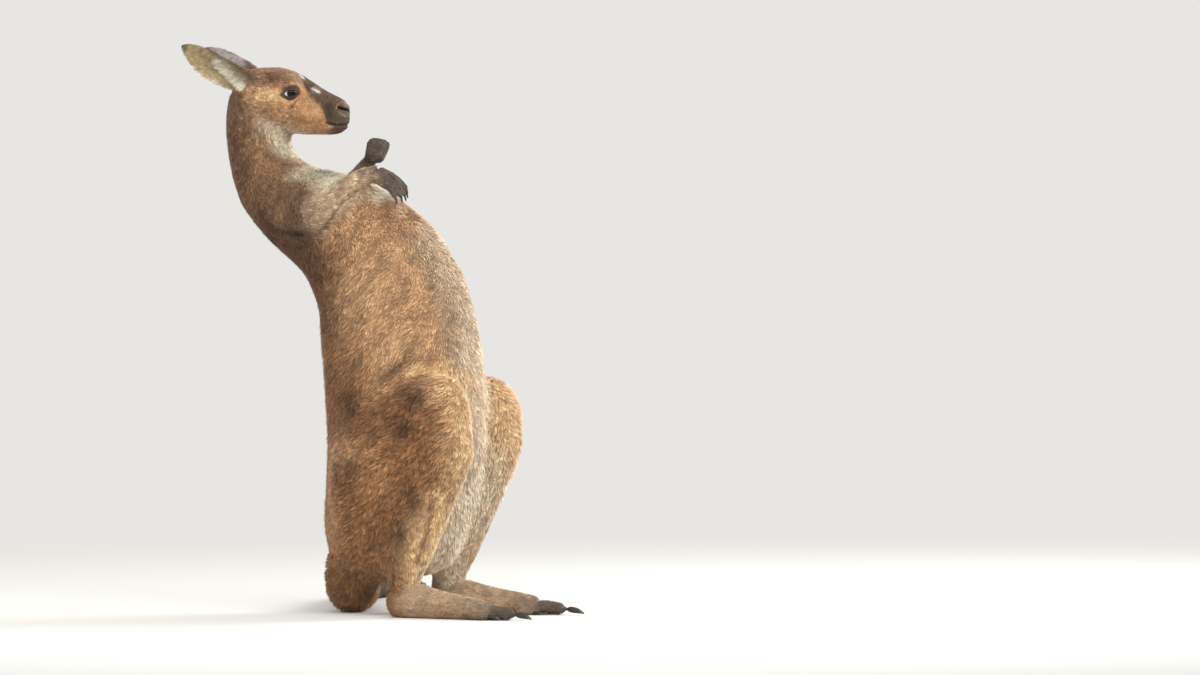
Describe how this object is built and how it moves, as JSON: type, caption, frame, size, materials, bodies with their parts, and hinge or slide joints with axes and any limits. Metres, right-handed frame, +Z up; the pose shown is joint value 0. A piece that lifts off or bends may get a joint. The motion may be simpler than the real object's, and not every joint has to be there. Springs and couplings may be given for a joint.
{
  "type": "kangaroo",
  "caption": "Western grey kangaroo, life-size still model, standing upright on its hind feet and tail, leaning back with its forearms folded on its chest.",
  "frame": {"origin": "middle of the model's footprint, on the floor", "axes": "+X the way the trunk and the feet face, +Y the animal's left, +Z up"},
  "size_m": [0.6566, 0.7768, 0.9407],
  "materials": {
    "coat": "short dense fur, warm brown, paler on the underside",
    "dark_coat": "very short dark fur over the hands and feet",
    "ear": "thin fur, grey outside and cream inside",
    "nose": "bare dark skin",
    "eye": "wet, dark brown",
    "claw": "dark polished horn"
  },
  "bodies": {
    "root": {"rump": "coat", "belly": "coat", "chest": "coat", "neck": "coat", "tail_base": "coat", "tail_middle": "coat", "tail_tip": "coat", "head": "coat", "nose": "nose", "eye_right": "eye", "eye_left": "eye", "ear_right": "ear", "ear_left": "ear", "upper_arm_right": "coat", "forearm_right": "coat", "hand_right": "dark_coat", "claw_hand_right_1": "claw", "claw_hand_right_2": "claw", "claw_hand_right_3": "claw", "claw_hand_right_4": "claw", "claw_hand_right_5": "claw", "upper_arm_left": "coat", "forearm_left": "coat", "hand_left": "dark_coat", "claw_hand_left_1": "claw", "claw_hand_left_2": "claw", "claw_hand_left_3": "claw", "claw_hand_left_4": "claw", "claw_hand_left_5": "claw", "thigh_right": "coat", "shank_right": "coat", "foot_right": "dark_coat", "claw_foot_right_fourth": "claw", "claw_foot_right_fifth": "claw", "claw_foot_right_third": "claw", "claw_foot_right_second": "claw", "thigh_left": "coat", "shank_left": "coat", "foot_left": "dark_coat", "claw_foot_left_fourth": "claw", "claw_foot_left_fifth": "claw", "claw_foot_left_third": "claw", "claw_foot_left_second": "claw"}
  },
  "joints": []
}
